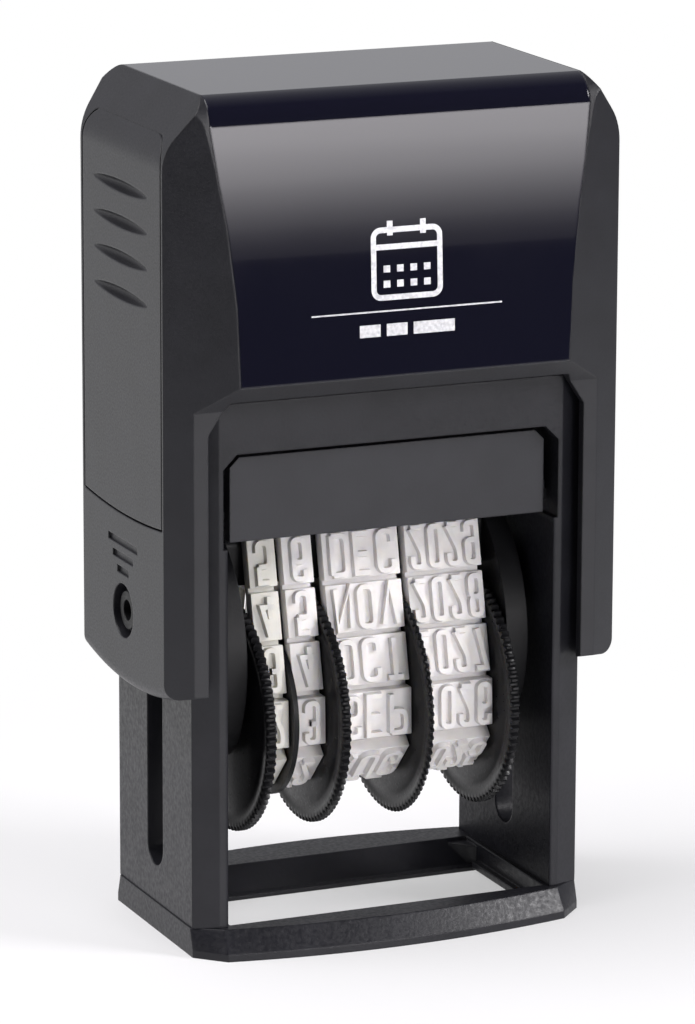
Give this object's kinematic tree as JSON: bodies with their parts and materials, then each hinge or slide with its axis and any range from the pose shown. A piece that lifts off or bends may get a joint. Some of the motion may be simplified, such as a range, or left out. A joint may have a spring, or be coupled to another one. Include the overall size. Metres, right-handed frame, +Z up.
{
  "type": "self-inking rotary date stamp",
  "caption": "Self-inking date stamp: sprung cap over a two-post frame, turning platen with rubber date bands and knurled setting wheels.",
  "frame": {"origin": "centre of the foot ring's underside, the plane that rests on the paper", "axes": "+Z up the press direction, X across the width, front of the stamp towards -Y"},
  "size_m": [0.0442, 0.027, 0.0785],
  "materials": {
    "frame_plastic": "fine matte texture, charcoal",
    "cap_plastic": "fine matte texture, charcoal",
    "platen_plastic": "matte, black",
    "wheel_plastic": "satin, black, knurled rim",
    "gloss_cover": "high gloss, black",
    "card": "printed card",
    "band_rubber": "matte, warm white",
    "die_rubber": "matte, brick red",
    "ink_felt": "ink-soaked felt",
    "spring_steel": "drawn wire"
  },
  "bodies": {
    "frame": {"base_frame": "frame_plastic", "foot_ring": "frame_plastic", "ink_cartridge": "frame_plastic", "ink_pad": "ink_felt", "return_spring": "spring_steel"},
    "cap": {"cap_shell": "cap_plastic", "window_cover": "gloss_cover", "insert_card": "card", "grip_left": "cap_plastic", "grip_right": "cap_plastic"},
    "platen": {"platen_end_left": "platen_plastic", "platen_end_right": "platen_plastic", "die_plate": "platen_plastic", "text_die": "die_rubber", "date_anvil": "platen_plastic", "wheel_axle": "spring_steel", "band_separator": "wheel_plastic", "day_tens_band": "band_rubber", "day_ones_band": "band_rubber", "month_band": "band_rubber", "year_band": "band_rubber"},
    "day_tens_wheel": {"day_tens_wheel": "wheel_plastic"},
    "day_ones_wheel": {"day_ones_wheel": "wheel_plastic"},
    "month_wheel": {"month_wheel": "wheel_plastic"},
    "year_wheel": {"year_wheel": "wheel_plastic"}
  },
  "joints": [
    {"name": "cap_press", "type": "slide", "parent": "frame", "child": "cap", "axis": [0, 0, -1], "range_m": [0, 0.0224], "stiffness_N_per_m": 350, "springref_m": -0.01, "deforming": ["return_spring"]},
    {"name": "platen_flip", "type": "hinge", "parent": "cap", "child": "platen", "pos_m": [0, 0, 0.0304], "axis": [-1, 0, 0], "range_deg": [0, 180.5]},
    {"name": "day_tens_turn", "type": "hinge", "parent": "platen", "child": "day_tens_wheel", "pos_m": [-0.0118, 0.0005, 0.01975], "axis": [1, 0, 0], "continuous": true},
    {"name": "day_ones_turn", "type": "hinge", "parent": "platen", "child": "day_ones_wheel", "pos_m": [-0.00445, 0.0005, 0.01975], "axis": [1, 0, 0], "continuous": true},
    {"name": "month_turn", "type": "hinge", "parent": "platen", "child": "month_wheel", "pos_m": [0.00392, 0.0005, 0.01975], "axis": [1, 0, 0], "continuous": true},
    {"name": "year_turn", "type": "hinge", "parent": "platen", "child": "year_wheel", "pos_m": [0.01227, 0.0005, 0.01975], "axis": [1, 0, 0], "continuous": true}
  ],
  "couplings": [
    {"joint": "platen_flip", "follows": "cap_press", "rad_per_m": 140.24}
  ]
}
